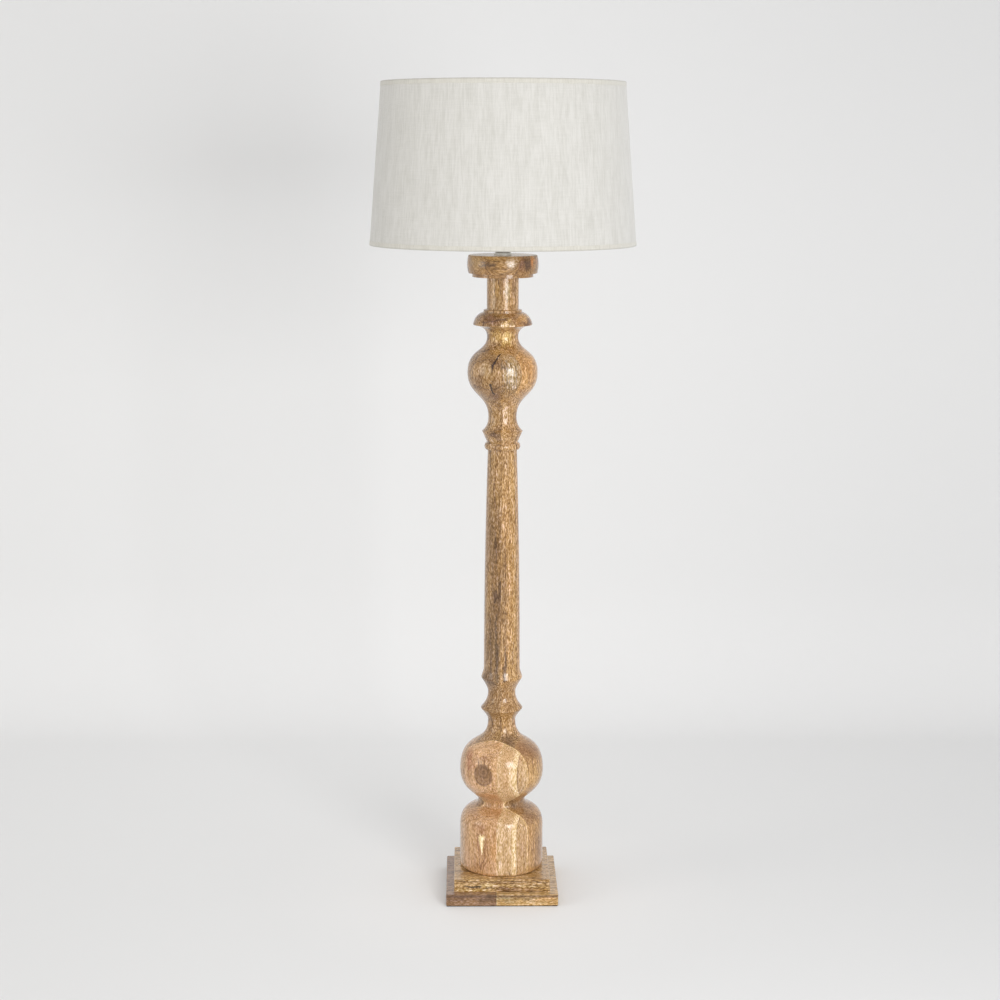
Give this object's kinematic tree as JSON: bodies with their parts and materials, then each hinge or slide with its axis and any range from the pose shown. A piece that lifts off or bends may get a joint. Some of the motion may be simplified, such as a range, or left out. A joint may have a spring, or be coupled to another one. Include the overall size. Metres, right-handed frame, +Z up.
{
  "type": "floor lamp",
  "caption": "Candlestick floor lamp: turned and laminated wooden column on two square plinths, with a tapered linen drum shade.",
  "frame": {"origin": "on the floor, under the column's axis, at the centre of the lamp's plan", "axes": "+Z up along the column; -Y is the front that faces the viewer, square to the plinths; the cord leaves at the back, +Y"},
  "size_m": [0.4999, 0.5, 1.563],
  "materials": {
    "lower_plinth_left_board_wood": "dark grey-brown mango wood board, satin lacquer",
    "lower_plinth_right_board_wood": "light tan mango wood board, satin lacquer",
    "upper_plinth_wood": "mango wood with dark streaks, satin lacquer",
    "core_back_stave_wood": "brown mango wood, satin lacquer",
    "core_front_left_stave_wood": "grey-brown mango wood, satin lacquer",
    "core_front_right_stave_wood": "light tan mango wood, satin lacquer",
    "lower_front_left_block_wood": "pinkish tan mango wood with a knot, satin lacquer",
    "lower_front_right_block_wood": "pale straight-grained mango wood, satin lacquer",
    "lower_back_block_wood": "tan mango wood, satin lacquer",
    "lower_left_block_wood": "tan mango wood, satin lacquer",
    "lower_right_block_wood": "tan mango wood with dark streaks, satin lacquer",
    "front_left_corner_strip_wood": "brown mango wood, satin lacquer",
    "front_right_corner_strip_wood": "brown mango wood, satin lacquer",
    "back_left_corner_strip_wood": "brown mango wood, satin lacquer",
    "back_right_corner_strip_wood": "brown mango wood, satin lacquer",
    "upper_front_block_wood": "grey-brown mango wood, satin lacquer",
    "upper_back_block_wood": "tan mango wood, satin lacquer",
    "upper_left_block_wood": "grey-brown mango wood, satin lacquer",
    "upper_right_block_wood": "orange-brown mango wood, satin lacquer",
    "cap_disc_wood": "mango wood with grain across, satin lacquer",
    "column_dowels_wood": "plain beech dowel",
    "felt": "dense dark brown felt",
    "zinc_steel": "zinc-plated steel",
    "black_plastic": "moulded black nylon",
    "nickel": "satin nickel plate",
    "porcelain": "white glazed porcelain",
    "brass": "bare brass",
    "bulb_tip_metal": "bare tinned contact",
    "bulb_cap_metal": "bare drawn aluminium",
    "white_plastic": "moulded white plastic",
    "opal_globe": "opal white diffuser",
    "linen": "fine ecru linen, plain weave with slubs",
    "shade_lining": "white backing film",
    "linen_hem": "folded linen edge",
    "white_wire": "white-coated steel wire"
  },
  "bodies": {
    "lamp": {"lower_plinth_left_board": "lower_plinth_left_board_wood", "lower_plinth_right_board": "lower_plinth_right_board_wood", "upper_plinth": "upper_plinth_wood", "core_back_stave": "core_back_stave_wood", "core_front_left_stave": "core_front_left_stave_wood", "core_front_right_stave": "core_front_right_stave_wood", "lower_front_left_block": "lower_front_left_block_wood", "lower_front_right_block": "lower_front_right_block_wood", "lower_back_block": "lower_back_block_wood", "lower_left_block": "lower_left_block_wood", "lower_right_block": "lower_right_block_wood", "front_left_corner_strip": "front_left_corner_strip_wood", "front_right_corner_strip": "front_right_corner_strip_wood", "back_left_corner_strip": "back_left_corner_strip_wood", "back_right_corner_strip": "back_right_corner_strip_wood", "upper_front_block": "upper_front_block_wood", "upper_back_block": "upper_back_block_wood", "upper_left_block": "upper_left_block_wood", "upper_right_block": "upper_right_block_wood", "cap_disc": "cap_disc_wood", "column_dowels": "column_dowels_wood", "floor_pad": "felt", "plinth_screws": "zinc_steel", "cord_inlet_bush": "black_plastic", "centre_tube": "zinc_steel", "lower_washer": "zinc_steel", "lower_nut": "zinc_steel", "top_nut": "zinc_steel", "dome_plate": "nickel", "holder_cup": "nickel", "holder_sleeve": "nickel", "switch_housing": "black_plastic", "holder_insert": "porcelain", "socket_shell": "brass", "shell_contact": "brass", "centre_contact": "brass", "terminal_blocks": "brass", "terminal_screws": "zinc_steel"},
    "shade": {"shade_linen": "linen", "shade_lining": "shade_lining", "top_hem": "linen_hem", "bottom_hem": "linen_hem", "top_wire_ring": "white_wire", "bottom_wire_ring": "white_wire", "spider_spokes": "white_wire", "fitter_ring": "white_wire"},
    "shade_ring": {"shade_ring": "nickel"},
    "bulb_tip": {"bulb_contact": "bulb_tip_metal"},
    "bulb": {"bulb_insulator": "black_plastic", "bulb_cap": "bulb_cap_metal", "bulb_collar": "white_plastic", "bulb_globe": "opal_globe"},
    "switch_bar": {"switch_bar": "black_plastic"}
  },
  "joints": [
    {"name": "shade_turn", "type": "hinge", "parent": "lamp", "child": "shade", "pos_m": [0, 0, 1.2905], "axis": [0, 0, 1], "continuous": true},
    {"name": "shade_ring_turn", "type": "hinge", "parent": "lamp", "child": "shade_ring", "pos_m": [0, 0, 1.2953], "axis": [0, 0, 1], "range_deg": [0, 720]},
    {"name": "bulb_rise", "type": "slide", "parent": "lamp", "child": "bulb_tip", "axis": [0, 0, 1], "range_m": [0, 0.011]},
    {"name": "bulb_turn", "type": "hinge", "parent": "bulb_tip", "child": "bulb", "pos_m": [0, 0, 1.31], "axis": [0, 0, 1], "range_deg": [0, 1080]},
    {"name": "switch_push", "type": "slide", "parent": "lamp", "child": "switch_bar", "axis": [1, 0, 0], "range_m": [0, 0.005]}
  ],
  "couplings": [
    {"joint": "bulb_rise", "follows": "bulb_turn", "m_per_rad": 0.00057773}
  ]
}
